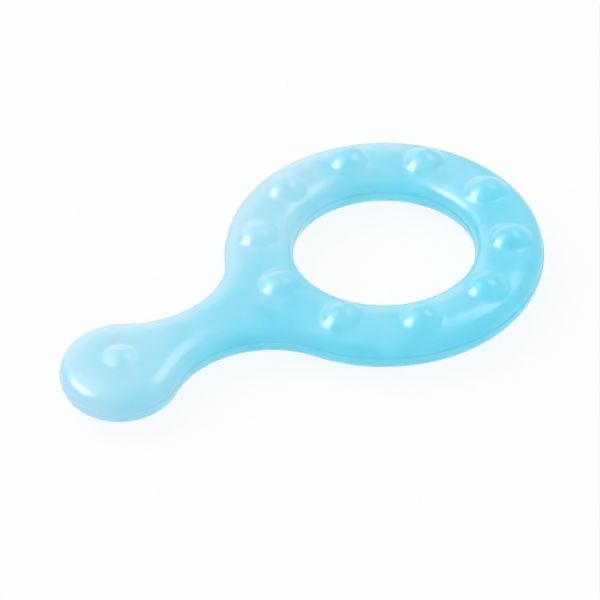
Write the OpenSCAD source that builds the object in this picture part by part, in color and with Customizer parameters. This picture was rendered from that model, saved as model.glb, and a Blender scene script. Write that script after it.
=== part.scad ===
// Liquid-filled teething ring: a round ring with a short handle that ends in a bulb.
// Two moulded half shells are welded along the middle, with a cooling liquid sealed
// between them and a plug in the fill port under the bulb.
// The shells are drawn about the ring's centre and the seam, and are then set down on
// z = 0 with the middle of the overall length at x = 0 and the handle along -X.

/* [Outline] */
// Overall length, from the end of the bulb to the far side of the ring
length = 124.6; // [112:0.2:150]
// Outer diameter of the ring
ring_d = 75; // [64:0.5:84]
// Width of the ring's band, from its outer edge to the hole
band_w = 15.8; // [14.4:0.2:18]
// Diameter of the bulb
bulb_d = 27.8; // [22:0.2:32]
// Width of the handle at its narrowest
neck_w = 14.3; // [14:0.1:18]

/* [Section] */
// Thickness of the body between its two crowned faces
body_t = 10; // [9.4:0.1:13]
// Height of the straight side wall at the seam
side_h = 2; // [1:0.1:2.4]
// Radius of the rounded edge
edge_r = 3.4; // [2.6:0.1:3.4]
// Distance in from the edge at which the crown levels out
crown_in = 7; // [5.5:0.1:7]
// Thickness of the shell wall
wall = 1.5; // [1.2:0.05:1.8]

/* [Nubs] */
// Number of gum-massaging nubs around each face of the ring
nub_count = 10; // [6:1:12]
// Diameter of a ring nub where it rises from the crown
nub_d = 10.4; // [8:0.2:11.6]
// Height of a ring nub above the body
nub_h = 2.4; // [1.6:0.1:2.8]
// Depth of the nub's base circle below the top of the crown
nub_seat = 0.6; // [0.4:0.05:0.8]
// Diameter of the flat on each underside nub, on which the ring rests
land_d = 2.4; // [1.6:0.1:3]
// Diameter of the nub on top of the bulb
bulb_nub_d = 9; // [7:0.2:11]
// Height of the nub on top of the bulb
bulb_nub_h = 1.4; // [1:0.1:2]

/* [Seam] */
// Width of the tongue on the lower shell's rim
tongue_w = 0.5; // [0.4:0.05:0.6]
// Height of the tongue
tongue_h = 0.6; // [0.4:0.05:0.8]
// Clearance between the tongue and its groove, all round
tongue_clearance = 0.05; // [0.03:0.01:0.08]
// How far the weld bead stands out of the side wall
bead_w = 0.2; // [0.1:0.05:0.4]
// Height of the weld bead on each side of the seam
bead_h = 0.4; // [0.3:0.05:0.5]

/* [Fill port] */
// Diameter of the boss that holds the port, under the bulb
boss_d = 11; // [9:0.2:12]
// Diameter of the port through the boss
port_d = 3.2; // [2.6:0.1:3.6]
// Diameter of the plug's head
plug_head_d = 5.6; // [4.6:0.1:6.4]
// Thickness of the plug's head at its crown
plug_head_t = 1.6; // [1.2:0.1:2]
// Length of the plug's barb inside the shell
barb_l = 1.3; // [1:0.1:1.6]
// How far the barb stands out over the shank
barb_w = 0.4; // [0.2:0.05:0.6]
// Clearance between the plug and its port
plug_clearance = 0.05; // [0.02:0.01:0.1]

/* [Liquid] */
// Clearance between the liquid and what encloses it
liquid_clearance = 0.15; // [0.1:0.05:0.3]

/* [Hidden] */
$fn = 96;

shell_colour = [0.55, 0.86, 0.94, 0.75];
liquid_colour = [0.72, 0.93, 0.98, 0.5];
plug_colour = [0.40, 0.78, 0.90];

// Steps along the edge arc and the crown arc of the section
edge_steps = 7;
crown_steps = 3;
// Length by which a cutting solid passes the face that it cuts
pass = 1;
// Overlap of two sweeps of the section
lap = 0.2;
// How far the handle's section stands in from those of the ring and the bulb, which it meets
// at a fine step instead of face on face
side_step = 0.02;

// ---- outline ----
ring_r = ring_d / 2;
hole_r = ring_r - band_w;
band_r = ring_r - band_w / 2;
bulb_r = bulb_d / 2;
neck_half = neck_w / 2;
bulb_x = length - ring_r - bulb_r;

// The handle's side is one arc that is tangent to the ring and the bulb and leaves the neck
// its width. Its centre is side_x along the handle and side_y to the side, and side_x is the
// root of side_a * x^2 + side_b * x + side_c = 0.
side_a = bulb_r - ring_r;
side_b = 2 * bulb_x * (ring_r - neck_half);
side_c = -(ring_r - neck_half) * (bulb_x^2 - bulb_r^2 + neck_half^2)
    - (ring_r^2 - neck_half^2) * (bulb_r - neck_half);
side_x = 2 * side_c / (-side_b - sqrt(side_b^2 - 4 * side_a * side_c));
side_r = (side_x^2 - ring_r^2 + neck_half^2) / (2 * (ring_r - neck_half));
side_y = side_r + neck_half;
ring_turn = atan2(side_y, side_x);
bulb_turn = atan2(side_y, bulb_x - side_x);
lap_turn = lap / side_r * 180 / PI;

// ---- section ----
// (d, z): d runs inwards from the outline and z up from the seam. The edge arc and the
// crown arc are tangent where both their normals stand at section_turn.
half_t = body_t / 2;
side_z = side_h / 2;
crown_r = ((crown_in - edge_r)^2 + (half_t - side_z)^2 - edge_r^2)
    / (2 * (half_t - side_z - edge_r));
section_turn = atan2(crown_r - half_t + side_z, crown_in - edge_r);
ceiling_z = half_t - wall;

// ---- nubs ----
nub_r = cap_radius(nub_d, nub_h + nub_seat);
boss_r = cap_radius(boss_d, nub_h);
bulb_nub_r = cap_radius(bulb_nub_d, bulb_nub_h);
nub_top = half_t + nub_h;
land_z = nub_top - nub_r + sqrt(nub_r^2 - (land_d / 2)^2);
// Level at which the nubs are rooted in the body, under their base circle
nub_root = half_t - 2 * nub_seat;

// ---- fill port ----
plug_seat_z = nub_top - plug_head_t;
shank_r = port_d / 2 - plug_clearance;
barb_r = shank_r + barb_w;

// ---- place of the whole ring ----
ring_centre = [(length - ring_d) / 2, 0, land_z];
bulb_centre = [-bulb_x, 0, 0];

// Radius of the sphere whose cap is d across and h high
function cap_radius(d, h) = ((d / 2)^2 + h^2) / (2 * h);

function reversed(points) = [for (i = [len(points) - 1:-1:0]) points[i]];

// Points measured inwards from the radius r
function inwards(r, points) = [for (p = points) [r - p[0], p[1]]];

// Points of an arc whose normal turns from `from` to `to`, up from the outward horizontal
function arc(centre, r, from, to, steps) =
    [for (i = [0:steps]) let (a = from + (to - from) * i / steps) centre + r * [-cos(a), sin(a)]];

// Edge and crown of the section, moved in by inset, from the side wall to the level crown
function rim(inset) = concat(
    arc([edge_r, side_z], edge_r - inset, 0, section_turn, edge_steps),
    arc([crown_in, half_t - crown_r], crown_r - inset, section_turn, 90, crown_steps));

// Tongue or groove, w wide and h deep, in the middle of the rim
function rim_joint(w, h, inset) =
    let (near = inset + (wall - w) / 2, far = near + w)
    [[far, 0], [far, h], [near, h], [near, 0]];

// Outside of a half shell with its rim joint and weld bead, as far in as reach
function outside(w, h, inset, reach) = concat(
    rim_joint(w, h, inset),
    [[inset - bead_w, 0], [inset - bead_w, bead_h / 2], [inset, bead_h]],
    rim(inset),
    [[reach, half_t - inset], [reach, 0]]);

// Hollow of a half shell, which passes the seam
function hollow(inset, reach) = concat(
    [[wall + inset, -pass]], rim(wall + inset), [[reach, ceiling_z - inset], [reach, -pass]]);

// Section of the liquid, above and below the seam
function liquid(inset, reach) =
    let (above = concat(rim(wall + inset), [[reach, ceiling_z - inset]]))
    concat(above, [for (p = reversed(above)) [p[0], -p[1]]]);

// Section of a kind, moved in by inset from the outline
function section(kind, inset, reach) =
    kind == "upper" ? outside(
        tongue_w + 2 * tongue_clearance, tongue_h + tongue_clearance, inset, reach) :
    kind == "lower" ? outside(tongue_w, -tongue_h, inset, reach) :
    kind == "hollow" ? hollow(inset, reach) :
    liquid(inset + liquid_clearance, reach);

// The section swept round the hole, the ring, the bulb and the two sides of the handle. Each
// sweep is a revolve about the centre of its arc.
module body(kind) {
    rotate_extrude()
        translate([hole_r, 0]) polygon(section(kind, 0, band_r - hole_r + lap));
    rotate([0, 0, 180 + ring_turn])
        rotate_extrude(angle = 360 - 2 * ring_turn)
            polygon(inwards(ring_r, section(kind, 0, ring_r - band_r + lap)));
    for (side = [0, 1])
        mirror([0, side, 0]) neck_side(kind);
    translate(bulb_centre)
        rotate([0, 0, bulb_turn])
            rotate_extrude(angle = 360 - 2 * bulb_turn)
                polygon(inwards(bulb_r, section(kind, 0, bulb_r)));
}

// One side of the handle, in to the middle plane, with its ends inside the ring and the bulb
module neck_side(kind) {
    difference() {
        intersection() {
            translate([-side_x, side_y, 0])
                rotate([0, 0, bulb_turn - 180 - lap_turn])
                    rotate_extrude(angle = 180 - ring_turn - bulb_turn + 2 * lap_turn)
                        translate([side_r, 0]) polygon(section(kind, side_step, ring_r));
            translate([-bulb_x - bulb_r, 0, -body_t]) cube([bulb_x + bulb_r, ring_r, 2 * body_t]);
        }
        translate([0, 0, -body_t]) cylinder(r = band_r - lap, h = 2 * body_t);
    }
}

// Part of a sphere of radius r with its top at z = top, kept between low and high
module cap(r, top, low, high) {
    intersection() {
        translate([0, 0, top - r]) sphere(r);
        translate([-r, -r, low]) cube([2 * r, 2 * r, high - low]);
    }
}

module around_ring() {
    for (i = [0:nub_count - 1])
        rotate([0, 0, 180 + i * 360 / nub_count]) translate([band_r, 0, 0]) children();
}

// Ring nubs, moved in by inset from their outer face, rooted in the body at low
module ring_nubs(inset, low, high) {
    around_ring() cap(nub_r - inset, nub_top - inset, low, high);
}

// The nub on top of the bulb, in the same way
module bulb_nub(inset, low) {
    translate(bulb_centre)
        cap(bulb_nub_r - inset, half_t + bulb_nub_h - inset, low, nub_top + pass);
}

module set_down() {
    translate(ring_centre) children();
}

// The hollows under the nubs keep the wall's thickness
module upper_shell() {
    color(shell_colour)
        set_down()
            difference() {
                union() {
                    body("upper");
                    ring_nubs(0, nub_root, nub_top + pass);
                    bulb_nub(0, nub_root);
                }
                union() {
                    body("hollow");
                    ring_nubs(wall, nub_root - wall, nub_top);
                    bulb_nub(wall, nub_root - wall);
                }
            }
}

module lower_shell() {
    color(shell_colour)
        set_down()
            mirror([0, 0, 1])
                difference() {
                    union() {
                        body("lower");
                        ring_nubs(0, nub_root, land_z);
                        translate(bulb_centre) cap(boss_r, nub_top, nub_root, land_z);
                    }
                    union() {
                        body("hollow");
                        ring_nubs(wall, nub_root - wall, nub_top);
                    }
                    translate(bulb_centre) port();
                }
}

// Port through the boss, with a seat for the plug's head
module port() {
    translate([0, 0, ceiling_z - pass]) cylinder(d = port_d, h = nub_top - ceiling_z + 2 * pass);
    translate([0, 0, plug_seat_z]) cylinder(d = plug_head_d + 2 * plug_clearance, h = nub_top);
}

// Barbed plug, whose head completes the round of the boss
module fill_plug() {
    color(plug_colour)
        set_down()
            mirror([0, 0, 1])
                translate(bulb_centre) {
                    intersection() {
                        cap(boss_r, nub_top, plug_seat_z, land_z);
                        translate([0, 0, plug_seat_z]) cylinder(d = plug_head_d, h = nub_top);
                    }
                    rotate_extrude()
                        polygon([
                            [0, plug_seat_z],
                            [shank_r, plug_seat_z],
                            [shank_r, ceiling_z - plug_clearance],
                            [barb_r, ceiling_z - plug_clearance],
                            [shank_r - barb_w, ceiling_z - barb_l],
                            [0, ceiling_z - barb_l]]);
                }
}

module cooling_liquid() {
    gap = wall + liquid_clearance;
    color(liquid_colour)
        set_down()
            difference() {
                union() {
                    body("liquid");
                    for (face = [0, 1])
                        mirror([0, 0, face]) ring_nubs(gap, nub_root - gap, nub_top);
                    bulb_nub(gap, nub_root - gap);
                }
                translate(bulb_centre + [0, 0, -half_t])
                    cylinder(r = barb_r + liquid_clearance, h = wall + barb_l + liquid_clearance);
            }
}

upper_shell();
lower_shell();
cooling_liquid();
fill_plug();
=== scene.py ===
"""Looks of a liquid-filled teething ring: two moulded EVA half shells, the cooling liquid
sealed inside them and the plug that closes the fill port."""

from math import atan2, cos, pi, radians, sin, sqrt

import bpy
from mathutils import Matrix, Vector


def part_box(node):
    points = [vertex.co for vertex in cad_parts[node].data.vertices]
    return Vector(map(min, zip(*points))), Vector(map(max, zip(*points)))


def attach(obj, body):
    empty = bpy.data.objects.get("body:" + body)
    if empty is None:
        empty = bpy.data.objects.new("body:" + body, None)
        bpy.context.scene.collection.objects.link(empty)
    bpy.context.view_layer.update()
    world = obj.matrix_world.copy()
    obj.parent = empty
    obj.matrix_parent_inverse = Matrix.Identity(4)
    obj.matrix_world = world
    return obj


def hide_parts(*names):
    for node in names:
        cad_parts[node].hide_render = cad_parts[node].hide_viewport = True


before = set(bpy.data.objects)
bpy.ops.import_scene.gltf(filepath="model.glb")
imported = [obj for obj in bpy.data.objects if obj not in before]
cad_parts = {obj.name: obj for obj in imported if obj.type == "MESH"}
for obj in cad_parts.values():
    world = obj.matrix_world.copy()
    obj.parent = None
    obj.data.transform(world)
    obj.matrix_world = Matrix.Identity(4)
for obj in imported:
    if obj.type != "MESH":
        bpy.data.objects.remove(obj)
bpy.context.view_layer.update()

# ---- sizes, in metres ----

MM = 0.001
SHELL_LOW, SHELL_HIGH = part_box("upper_shell")

BEAD_WIDTH = 0.2 * MM
BEAD_HEIGHT = 0.4 * MM
LENGTH = SHELL_HIGH.x - SHELL_LOW.x - 2 * BEAD_WIDTH
RING_RADIUS = (SHELL_HIGH.y - SHELL_LOW.y) / 2 - BEAD_WIDTH
BAND_WIDTH = 15.8 * MM
HOLE_RADIUS = RING_RADIUS - BAND_WIDTH
BAND_RADIUS = RING_RADIUS - BAND_WIDTH / 2
BULB_RADIUS = 13.9 * MM
NECK_HALF = 7.15 * MM
HALF_THICK = 5.0 * MM
SIDE_HEIGHT = 1.0 * MM
EDGE_RADIUS = 3.4 * MM
CROWN_IN = 7.0 * MM
WALL = 1.5 * MM

NUB_COUNT = 10
NUB_HEIGHT = 2.4 * MM
NUB_RADIUS = 6.0 * MM
BULB_NUB_HEIGHT = 1.4 * MM
BULB_NUB_RADIUS = 6.1 * MM
PORT_RADIUS = 1.55 * MM
SEAT_RADIUS = 2.8 * MM
SEAT_DEPTH = 1.6 * MM
BARB_ROOM = 2.1 * MM
BARB_DEPTH = 1.45 * MM

# The ring's middle, at the seam between the half shells
SEAM_HEIGHT = SHELL_LOW.z
RING_CENTRE = (SHELL_HIGH.x - BEAD_WIDTH - RING_RADIUS, 0, SEAM_HEIGHT)
BULB_X = LENGTH - RING_RADIUS - BULB_RADIUS

# Distance that touching pieces melt into each other, so that no film of air is left between
# them: the welded rims, the liquid that wets the inside of its wall, and the plug that is pressed
# into its port
MELT = 0.05 * MM
# Grain of the moulded surface, fine enough to round off the foot of every nub
GRAIN = 0.42 * MM


def tangent_arc():
    """Centre and radius of the arc that joins the ring to the bulb along one side of the handle,
    tangent to both, and its turn from the handle's line at the ring and at the bulb."""
    a = BULB_RADIUS - RING_RADIUS
    b = 2 * BULB_X * (RING_RADIUS - NECK_HALF)
    c = -(RING_RADIUS - NECK_HALF) * (BULB_X**2 - BULB_RADIUS**2 + NECK_HALF**2) - (
        RING_RADIUS**2 - NECK_HALF**2
    ) * (BULB_RADIUS - NECK_HALF)
    x = 2 * c / (-b - sqrt(b * b - 4 * a * c))
    radius = (x * x - RING_RADIUS**2 + NECK_HALF**2) / (2 * (RING_RADIUS - NECK_HALF))
    y = radius + NECK_HALF
    return x, y, atan2(y, x), atan2(y, BULB_X - x)


# ---- modelling by hand ----


def begin(name, add, **place):
    """A new mesh from a primitive, selected and open for editing."""
    bpy.ops.object.select_all(action="DESELECT")
    add(location=(0, 0, 0), **place)
    piece = bpy.context.object
    piece.name = piece.data.name = name
    bpy.ops.object.mode_set(mode="EDIT")
    bpy.ops.mesh.select_mode(type="VERT")
    return piece


def done():
    bpy.ops.object.mode_set(mode="OBJECT")


def copy(piece, name):
    bpy.ops.object.select_all(action="DESELECT")
    piece.select_set(True)
    bpy.context.view_layer.objects.active = piece
    bpy.ops.object.duplicate()
    twin = bpy.context.object
    twin.name = twin.data.name = name
    return twin


def join(piece, *others):
    bpy.ops.object.select_all(action="DESELECT")
    for other in (piece, *others):
        other.select_set(True)
    bpy.context.view_layer.objects.active = piece
    bpy.ops.object.join()


def pick(piece, chosen):
    """Selects the vertices whose place passes the test, with the piece open for editing."""
    bpy.ops.object.select_all(action="DESELECT")
    piece.select_set(True)
    bpy.context.view_layer.objects.active = piece
    bpy.ops.object.mode_set(mode="EDIT")
    bpy.ops.mesh.select_mode(type="VERT")
    bpy.ops.mesh.select_all(action="DESELECT")
    bpy.ops.object.mode_set(mode="OBJECT")
    for vertex in piece.data.vertices:
        vertex.select = chosen(vertex.co)
    bpy.ops.object.mode_set(mode="EDIT")


def everything(co):
    return True


def apply(piece, kind, **settings):
    """Adds a modifier with its settings and applies it."""
    bpy.ops.object.select_all(action="DESELECT")
    piece.select_set(True)
    bpy.context.view_layer.objects.active = piece
    modifier = piece.modifiers.new(kind, kind)
    for key, value in settings.items():
        setattr(modifier, key, value)
    bpy.ops.object.modifier_apply(modifier=modifier.name)


def remove(*pieces):
    for piece in pieces:
        bpy.data.objects.remove(piece)


def turn(steps, angle, centre, axis=(0, 0, 1), **settings):
    """Spins what is selected, anticlockwise about the axis."""
    bpy.ops.mesh.spin(steps=steps, angle=-angle, center=centre, axis=axis, **settings)


def rim_profile(name, outline, inward):
    """Half of the section, from the seam up over the edge to the level crown. It stands in the
    plane of x and z with its side at x = outline, and runs in the direction inward."""
    crown_radius = (
        (CROWN_IN - EDGE_RADIUS) ** 2 + (HALF_THICK - SIDE_HEIGHT) ** 2 - EDGE_RADIUS**2
    ) / (2 * (HALF_THICK - SIDE_HEIGHT - EDGE_RADIUS))
    edge_turn = atan2(crown_radius - HALF_THICK + SIDE_HEIGHT, CROWN_IN - EDGE_RADIUS)
    profile = begin(name, bpy.ops.mesh.primitive_plane_add, size=MM)
    bpy.ops.mesh.merge(type="CENTER")
    bpy.ops.transform.translate(value=(outline, 0, 0))
    bpy.ops.mesh.extrude_region_move(TRANSFORM_OT_translate={"value": (0, 0, SIDE_HEIGHT)})
    turn(8, inward * edge_turn, (outline + inward * EDGE_RADIUS, 0, SIDE_HEIGHT), (0, 1, 0))
    turn(
        8,
        inward * (pi / 2 - edge_turn),
        (outline + inward * CROWN_IN, 0, HALF_THICK - crown_radius),
        (0, 1, 0),
    )
    bpy.ops.mesh.select_all(action="SELECT")
    return profile


def body_form(name):
    """The body without its nubs, closed and centred on the ring: one profile swept round the
    outline and one round the hole, the crown filled between them, and both mirrored."""
    side_x, side_y, ring_turn, bulb_turn = tangent_arc()
    side_turn = pi - ring_turn - bulb_turn
    body = rim_profile(name, RING_RADIUS, -1)
    turn(110, pi - ring_turn, (0, 0, 0))
    turn(30, -side_turn, (-side_x, side_y, 0))
    turn(64, 2 * (pi - bulb_turn), (-BULB_X, 0, 0))
    turn(30, -side_turn, (-side_x, -side_y, 0))
    turn(110, pi - ring_turn, (0, 0, 0))
    done()
    hole = rim_profile("hole", HOLE_RADIUS, 1)
    turn(160, 2 * pi, (0, 0, 0))
    done()
    join(body, hole)
    pick(body, everything)
    bpy.ops.mesh.remove_doubles(threshold=0.02 * MM)
    done()
    pick(body, lambda co: co.z > HALF_THICK - 0.01 * MM)
    bpy.ops.mesh.fill(use_beauty=False)
    done()
    apply(body, "MIRROR", use_axis=(False, False, True), merge_threshold=0.02 * MM)
    pick(body, everything)
    bpy.ops.mesh.normals_make_consistent(inside=False)
    done()
    return body


def dome(name, place, radius):
    """A round form whose top shows as a nub."""
    form = begin(
        name, bpy.ops.mesh.primitive_uv_sphere_add, segments=96, ring_count=48, radius=radius
    )
    bpy.ops.transform.translate(value=place)
    return form


def moulded(name, form, domes):
    """The form and its domes as one smooth skin, with the foot of every dome softened."""
    skin = copy(form, name)
    join(skin, *[copy(d, "dome") for d in domes])
    apply(skin, "REMESH", mode="VOXEL", voxel_size=GRAIN)
    apply(skin, "SMOOTH", factor=0.5, iterations=8)
    pick(skin, lambda co: co.z < -SEAM_HEIGHT)
    bpy.ops.transform.resize(value=(1, 1, 0), center_override=(0, 0, -SEAM_HEIGHT))
    done()
    return skin


def half_shell(name, skin, hollow, side):
    """One half of the skin with its hollow. side is 1 for the upper half and -1 for the lower.
    The rim gets the bead that the weld squeezes out, and reaches MELT into the other half."""
    shell = copy(skin, name)
    pick(shell, everything)
    bpy.ops.mesh.bisect(
        plane_co=(0, 0, side * BEAD_HEIGHT), plane_no=(0, 0, side), clear_inner=True
    )
    bpy.ops.mesh.remove_doubles(threshold=0.02 * MM)
    for rise, swell in ((BEAD_HEIGHT / 2, BEAD_WIDTH), (BEAD_HEIGHT / 2, 0), (MELT, -BEAD_WIDTH)):
        bpy.ops.mesh.select_all(action="DESELECT")
        bpy.ops.mesh.select_mode(type="EDGE")
        bpy.ops.mesh.select_non_manifold(use_wire=False, use_multi_face=False, use_verts=False)
        bpy.ops.mesh.extrude_region_move(
            TRANSFORM_OT_translate={"value": (0, 0, -side * rise)}
        )
        if swell:
            bpy.ops.transform.shrink_fatten(value=swell)
    done()
    wall = copy(hollow, "wall")
    pick(wall, everything)
    bpy.ops.mesh.bisect(plane_co=(0, 0, -side * MELT), plane_no=(0, 0, side), clear_inner=True)
    bpy.ops.mesh.remove_doubles(threshold=0.02 * MM)
    bpy.ops.mesh.select_all(action="SELECT")
    bpy.ops.mesh.flip_normals()
    done()
    join(shell, wall)
    pick(shell, lambda co: abs(co.z + side * MELT) < 0.002 * MM)
    bpy.ops.mesh.fill(use_beauty=False)
    done()
    return shell


def shrunk(name, skin, depth):
    """The skin moved in by a depth all over."""
    core = copy(skin, name)
    apply(core, "DISPLACE", strength=-depth, mid_level=0)
    apply(core, "SMOOTH", factor=0.5, iterations=2)
    return core


def bored(piece, radius, low, high):
    """Bores an upright round hole between two heights under the middle of the bulb."""
    drill = begin(
        "drill", bpy.ops.mesh.primitive_cylinder_add, vertices=96, radius=radius, depth=high - low
    )
    bpy.ops.transform.translate(value=(-BULB_X, 0, (low + high) / 2))
    done()
    apply(piece, "BOOLEAN", operation="DIFFERENCE", solver="MANIFOLD", object=drill)
    remove(drill)


def put_in_place(piece, slot, *nodes):
    """Moves the piece from the ring's middle to its place and lets it stand for its CAD nodes."""
    pick(piece, everything)
    bpy.ops.transform.translate(value=RING_CENTRE)
    bpy.ops.mesh.select_all(action="DESELECT")
    done()
    bpy.ops.object.shade_smooth_by_angle(angle=radians(50))
    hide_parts(*nodes)
    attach(piece, "root")


# ---- materials ----

EVA_IOR = 1.48
COAT_ROUGHNESS = 0.2
# Colour of what a ray keeps as it crosses the shells and the liquid
AQUA = "#44F5FE"
# Size of the clouds in the haze, and the painted light: how much thicker and paler the haze is
# painted for each metre along x, y and z, towards the handle, the far side and the top, where the
# key lamp falls
CLOUD = 21 * MM
PAINTED_LIGHT_RISE = (-0.008 / MM, 0.015 / MM, 0.03 / MM)


def colour(code):
    """An sRGB hex code as linear red, green, blue and alpha."""
    parts = [int(code[i : i + 2], 16) / 255 for i in (1, 3, 5)]
    return (*[p / 12.92 if p <= 0.04045 else ((p + 0.055) / 1.055) ** 2.4 for p in parts], 1)


def node(tree, kind, settings=None, links=None):
    """Adds a node. settings are socket values, and links name the sockets that feed its own."""
    new = tree.nodes.new("ShaderNode" + kind)
    for key, value in (settings or {}).items():
        if isinstance(key, str) and hasattr(new, key):
            setattr(new, key, value)
        else:
            new.inputs[key].default_value = value
    for key, source in (links or {}).items():
        tree.links.new(source, new.inputs[key])
    return new


def new_material(name):
    material = bpy.data.materials.new(name)
    material.use_nodes = True
    material.node_tree.nodes.clear()
    return material, material.node_tree


def seen(tree):
    """1 for a ray that shows a surface, straight or by way of polish or clear EVA, and else 0."""
    path = node(tree, "LightPath").outputs
    bent = node(
        tree,
        "Math",
        {"operation": "MAXIMUM"},
        {0: path["Is Glossy Ray"], 1: path["Is Transmission Ray"]},
    )
    either = node(
        tree,
        "Math",
        {"operation": "MAXIMUM"},
        {0: path["Is Camera Ray"], 1: bent.outputs["Value"]},
    )
    return either.outputs["Value"]


def soft_eva():
    """Injection-moulded EVA: clear skin with a milky haze in it, which drifts in clouds. Painted
    light thickens the haze and turns the blue paler towards the handle, the far side and the top,
    where the key lamp falls. The polish is a little uneven, and the surface undulates by
    hundredths of a millimetre."""
    material, tree = new_material("soft_eva")
    place = node(tree, "TexCoord").outputs["Object"]
    haze = node(tree, "TexNoise", {"Scale": 1 / CLOUD, "Detail": 2.0}, {"Vector": place})
    polish = node(
        tree,
        "MapRange",
        {"From Min": 0.3, "From Max": 0.7, "To Min": 0.14, "To Max": 0.22},
        {"Value": haze.outputs["Fac"]},
    )
    # Painted light: a straight ramp, rising towards the handle, the far side and the top
    painted_light_ramp = node(
        tree, "VectorMath", {"operation": "DOT_PRODUCT", 1: PAINTED_LIGHT_RISE}, {0: place}
    )
    clouds_and_painted_light = node(
        tree,
        "Math",
        {"operation": "MULTIPLY_ADD", 1: 2.0},
        {0: haze.outputs["Fac"], 2: painted_light_ramp.outputs["Value"]},
    )
    haze_and_painted_light = node(
        tree,
        "MapRange",
        {"From Min": 0.85, "From Max": 1.8},
        {"Value": clouds_and_painted_light.outputs["Value"]},
    )
    # The milky share follows the clouds and the painted light
    milky_share_and_painted_light = node(
        tree,
        "MapRange",
        {"To Min": 0.37, "To Max": 0.47},
        {"Value": haze_and_painted_light.outputs["Result"]},
    )
    swell = node(tree, "TexNoise", {"Scale": 1 / (5 * MM), "Detail": 1.0}, {"Vector": place})
    bump = node(
        tree, "Bump", {"Strength": 0.3, "Distance": 0.05 * MM}, {"Height": swell.outputs["Fac"]}
    )
    skin = node(
        tree,
        "BsdfPrincipled",
        {
            "Base Color": colour("#FFFFFF"),
            "IOR": EVA_IOR,
            "Transmission Weight": 1.0,
            "Coat Weight": 1.0,
            "Coat Roughness": COAT_ROUGHNESS,
            "Sheen Weight": 0.4,
            "Sheen Roughness": 0.5,
        },
        {"Roughness": polish.outputs["Result"], "Normal": bump.outputs["Normal"]},
    )
    # The haze lets most of its light through and throws the rest back. Its colour carries painted
    # light:
    # bluer on the near, lower side and paler towards the key lamp, with the clouds mixed in
    haze_colour_and_painted_light = node(
        tree,
        "MixRGB",
        {"Color1": colour("#98F7FF"), "Color2": colour("#FAFBFF")},
        {"Fac": haze_and_painted_light.outputs["Result"]},
    )
    through = node(
        tree,
        "BsdfTranslucent",
        links={"Color": haze_colour_and_painted_light.outputs["Color"], "Normal": bump.outputs["Normal"]},
    )
    back = node(
        tree,
        "BsdfPrincipled",
        {
            "Roughness": 0.4,
            "IOR": EVA_IOR,
            "Coat Weight": 1.0,
            "Coat Roughness": COAT_ROUGHNESS,
        },
        {"Base Color": haze_colour_and_painted_light.outputs["Color"], "Normal": bump.outputs["Normal"]},
    )
    cloud = node(
        tree,
        "MixShader",
        {0: 0.35},
        {1: through.outputs["BSDF"], 2: back.outputs["BSDF"]},
    )
    milky = node(
        tree,
        "MixShader",
        links={0: milky_share_and_painted_light.outputs["Result"], 1: skin.outputs["BSDF"], 2: cloud.outputs["Shader"]},
    )
    tint = node(tree, "VolumeAbsorption", {"Color": colour(AQUA), "Density": 52.0})
    node(
        tree,
        "OutputMaterial",
        links={"Surface": milky.outputs["Shader"], "Volume": tint.outputs["Volume"]},
    )
    return material


def tinted_water():
    """Tinted water: clear, and bluer the more of it the eye looks through."""
    material, tree = new_material("tinted_water")
    place = node(tree, "TexCoord").outputs["Object"]
    drift = node(tree, "TexNoise", {"Scale": 1 / (9 * MM), "Detail": 1.0}, {"Vector": place})
    clear = node(
        tree,
        "MapRange",
        {"To Min": 0.02, "To Max": 0.06},
        {"Value": drift.outputs["Fac"]},
    )
    water = node(
        tree,
        "BsdfPrincipled",
        {"Base Color": colour("#FFFFFF"), "IOR": 1.333, "Transmission Weight": 1.0},
        {"Roughness": clear.outputs["Result"]},
    )
    tint = node(tree, "VolumeAbsorption", {"Color": colour(AQUA), "Density": 88.0})
    node(
        tree,
        "OutputMaterial",
        links={"Surface": water.outputs["BSDF"], "Volume": tint.outputs["Volume"]},
    )
    return material


def solid_eva():
    """The same EVA left solid: denser blue, with a fine matt grain from its turned mould."""
    material, tree = new_material("solid_eva")
    place = node(tree, "TexCoord").outputs["Object"]
    grain = node(tree, "TexNoise", {"Scale": 1 / (0.6 * MM), "Detail": 2.0}, {"Vector": place})
    polish = node(
        tree, "MapRange", {"To Min": 0.25, "To Max": 0.4}, {"Value": grain.outputs["Fac"]}
    )
    plug = node(
        tree,
        "BsdfPrincipled",
        {"Base Color": colour("#B4ECFA"), "IOR": EVA_IOR, "Transmission Weight": 0.6},
        {"Roughness": polish.outputs["Result"]},
    )
    node(tree, "OutputMaterial", links={"Surface": plug.outputs["BSDF"]})
    return material


def seamless_paper():
    """Seamless white paper: flat and even, white to the camera, and shaded by what lies on it."""
    material, tree = new_material("seamless_paper")
    paper = node(tree, "BsdfDiffuse", {"Color": colour("#FAFAFA"), "Roughness": 0.5})
    lift = node(tree, "MapRange", {"To Max": 0.86}, {"Value": seen(tree)})
    glow = node(tree, "Emission", {"Color": colour("#FEFEFE"), "Strength": 1.0})
    white = node(
        tree,
        "MixShader",
        links={0: lift.outputs["Result"], 1: paper.outputs["BSDF"], 2: glow.outputs["Emission"]},
    )
    node(tree, "OutputMaterial", links={"Surface": white.outputs["Shader"]})
    return material


# ---- the teether ----

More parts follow.
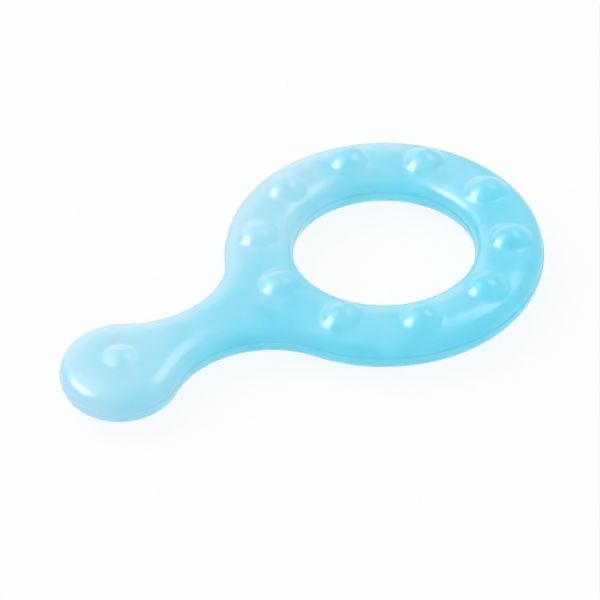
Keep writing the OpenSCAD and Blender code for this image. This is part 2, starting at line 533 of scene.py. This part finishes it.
body = body_form("body")
nubs = dome("nubs", (-BAND_RADIUS, 0, HALF_THICK + NUB_HEIGHT - NUB_RADIUS), NUB_RADIUS)
turn(NUB_COUNT - 1, 2 * pi * (NUB_COUNT - 1) / NUB_COUNT, (0, 0, 0), dupli=True)
done()
apply(nubs, "MIRROR", use_axis=(False, False, True), use_mirror_merge=False)
pick(nubs, everything)
bpy.ops.mesh.normals_make_consistent(inside=False)
done()
bulb_nub = dome(
    "bulb_nub", (-BULB_X, 0, HALF_THICK + BULB_NUB_HEIGHT - BULB_NUB_RADIUS), BULB_NUB_RADIUS
)
done()
boss = dome("boss", (-BULB_X, 0, NUB_RADIUS - HALF_THICK - NUB_HEIGHT), NUB_RADIUS)
done()

filled = moulded("filled", body, [nubs, bulb_nub])
skin = moulded("skin", body, [nubs, bulb_nub, boss])
remove(body, nubs, bulb_nub, boss)
hollow = shrunk("hollow", filled, WALL)
upper = half_shell("eva_upper_half", skin, hollow, 1)
lower = half_shell("eva_lower_half", skin, hollow, -1)
liquid = shrunk("sealed_liquid", filled, WALL - MELT)
remove(filled, skin, hollow)

# The fill port through the boss, the seat for the plug's head, and room for its barb
inner_face = WALL - HALF_THICK
bored(lower, PORT_RADIUS - MELT, -SEAM_HEIGHT - WALL, inner_face + WALL)
seat = SEAT_DEPTH - MELT - HALF_THICK - NUB_HEIGHT
bored(lower, SEAT_RADIUS - MELT, -SEAM_HEIGHT - WALL, seat)
bored(liquid, BARB_ROOM, inner_face - WALL, inner_face + BARB_DEPTH)

eva = soft_eva()
for piece, slot, cad, material in (
    (upper, "shell", "upper_shell", eva),
    (lower, "shell", "lower_shell", eva),
    (liquid, "liquid", "cooling_liquid", tinted_water()),
):
    put_in_place(piece, slot, cad)
    piece.data.materials.clear()
    piece.data.materials.append(material)

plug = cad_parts["fill_plug"]
plug.data.materials.clear()
plug.data.materials.append(solid_eva())

# ---- stage ----

begin("floor", bpy.ops.mesh.primitive_plane_add, size=4.0)
done()
floor = bpy.context.object
floor.data.materials.append(seamless_paper())


def softbox(name, direction, distance, size, power, lit=True):
    """An area lamp that faces the ring from a direction. One that isn't lit only shows in the
    polish, like a card, and is a little warm, so that its shine reads as white on the blue."""
    lamp = bpy.data.lights.new(name, "AREA")
    lamp.shape = "RECTANGLE"
    lamp.size, lamp.size_y = size
    lamp.energy = power
    if not lit:
        lamp.color = colour("#FFD4C6")[:3]
    holder = bpy.data.objects.new(name, lamp)
    bpy.context.scene.collection.objects.link(holder)
    length = sqrt(sum(d * d for d in direction))
    unit = [d / length for d in direction]
    holder.location = [c + distance * u for c, u in zip(RING_CENTRE, unit)]
    holder.rotation_euler = (
        0,
        atan2(sqrt(unit[0] ** 2 + unit[1] ** 2), unit[2]),
        atan2(unit[1], unit[0]),
    )
    holder.visible_diffuse = holder.visible_transmission = lit


softbox("key", (-0.40, 0.52, 0.75), 1.2, (1.0, 1.0), 4.5)
softbox("glint", (-0.70, 0.38, 0.55), 1.25, (0.72, 0.82), 13.5, lit=False)
softbox("right_card", (0.55, 0.12, 0.80), 1.2, (0.35, 0.6), 2.2, lit=False)
softbox("backlight", (0.14, 0.95, 0.27), 1.3, (0.8, 1.4), 3.4, lit=False)

world = bpy.data.worlds.new("white_room")
bpy.context.scene.world = world
world.use_nodes = True
world.node_tree.nodes.clear()
strength = node(
    world.node_tree, "MapRange", {"To Min": 0.8, "To Max": 1.0}, {"Value": seen(world.node_tree)}
)
room = node(
    world.node_tree,
    "Background",
    {"Color": (1, 1, 1, 1)},
    {"Strength": strength.outputs["Result"]},
)
node(world.node_tree, "OutputWorld", links={"Surface": room.outputs["Background"]})

# ---- camera ----

VIEW_TURN = radians(-33.1)
VIEW_RISE = radians(41.62)
VIEW_ROLL = radians(-1.28)
VIEW_DISTANCE = 0.8925
VIEW_CENTRE = (RING_CENTRE[0] - 0.02581, -0.00276, SEAM_HEIGHT)

camera = bpy.data.objects.new("camera", bpy.data.cameras.new("camera"))
bpy.context.scene.collection.objects.link(camera)
camera.data.lens = 230
camera.data.sensor_width = 36
camera.location = (
    VIEW_CENTRE[0] + VIEW_DISTANCE * sin(VIEW_TURN) * cos(VIEW_RISE),
    VIEW_CENTRE[1] - VIEW_DISTANCE * cos(VIEW_TURN) * cos(VIEW_RISE),
    VIEW_CENTRE[2] + VIEW_DISTANCE * sin(VIEW_RISE),
)
camera.rotation_euler = (pi / 2 - VIEW_RISE, 0, VIEW_TURN)
camera.rotation_euler.rotate_axis("Z", VIEW_ROLL)
bpy.context.scene.camera = camera

bpy.context.scene.view_settings.view_transform = "Standard"

# Light crosses up to six faces of shell and liquid on its way to the floor and six on its way
# back, and none of it may be blurred or dropped, or the clear ring turns grey.
paths = bpy.context.scene.cycles
paths.blur_glossy = 0
paths.max_bounces = paths.transmission_bounces = paths.glossy_bounces = 32
paths.diffuse_bounces = 16
